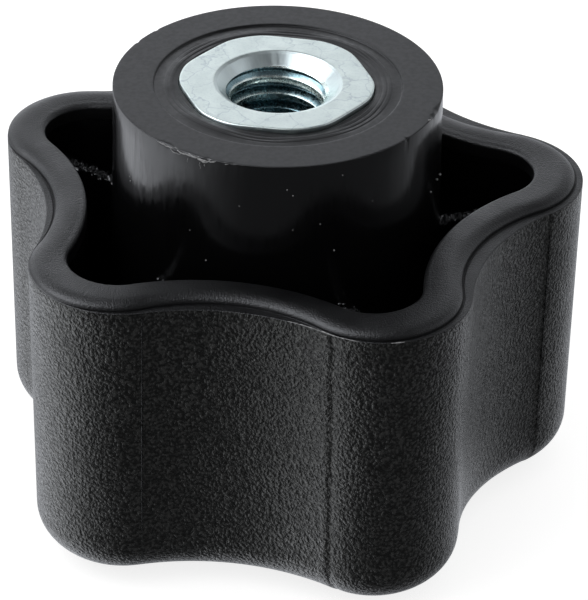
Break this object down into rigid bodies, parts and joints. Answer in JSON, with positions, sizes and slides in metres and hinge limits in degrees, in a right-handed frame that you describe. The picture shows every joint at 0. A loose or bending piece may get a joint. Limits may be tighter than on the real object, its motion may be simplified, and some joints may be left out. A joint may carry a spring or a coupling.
{
  "type": "star knob",
  "caption": "Hollow lobed hand knob in black moulded plastic, with a central boss round a hexagonal steel insert tapped for a stud.",
  "frame": {"origin": "centre of the crown's flat face on the thread axis", "axes": "+Z along the thread axis from the crown to the boss face, first lobe 8.6 degrees from +X towards +Y"},
  "size_m": [0.045, 0.0449, 0.0345],
  "materials": {
    "black_plastic": "moulded, leather-like grain on the grip, smooth satin on the rim and boss face, gloss on the boss's side",
    "zinc_plated_steel": "bluish white zinc plate, satin on the face, bright in the countersink and thread"
  },
  "bodies": {
    "root": {"knob_body": "black_plastic", "threaded_insert": "zinc_plated_steel"}
  },
  "joints": []
}
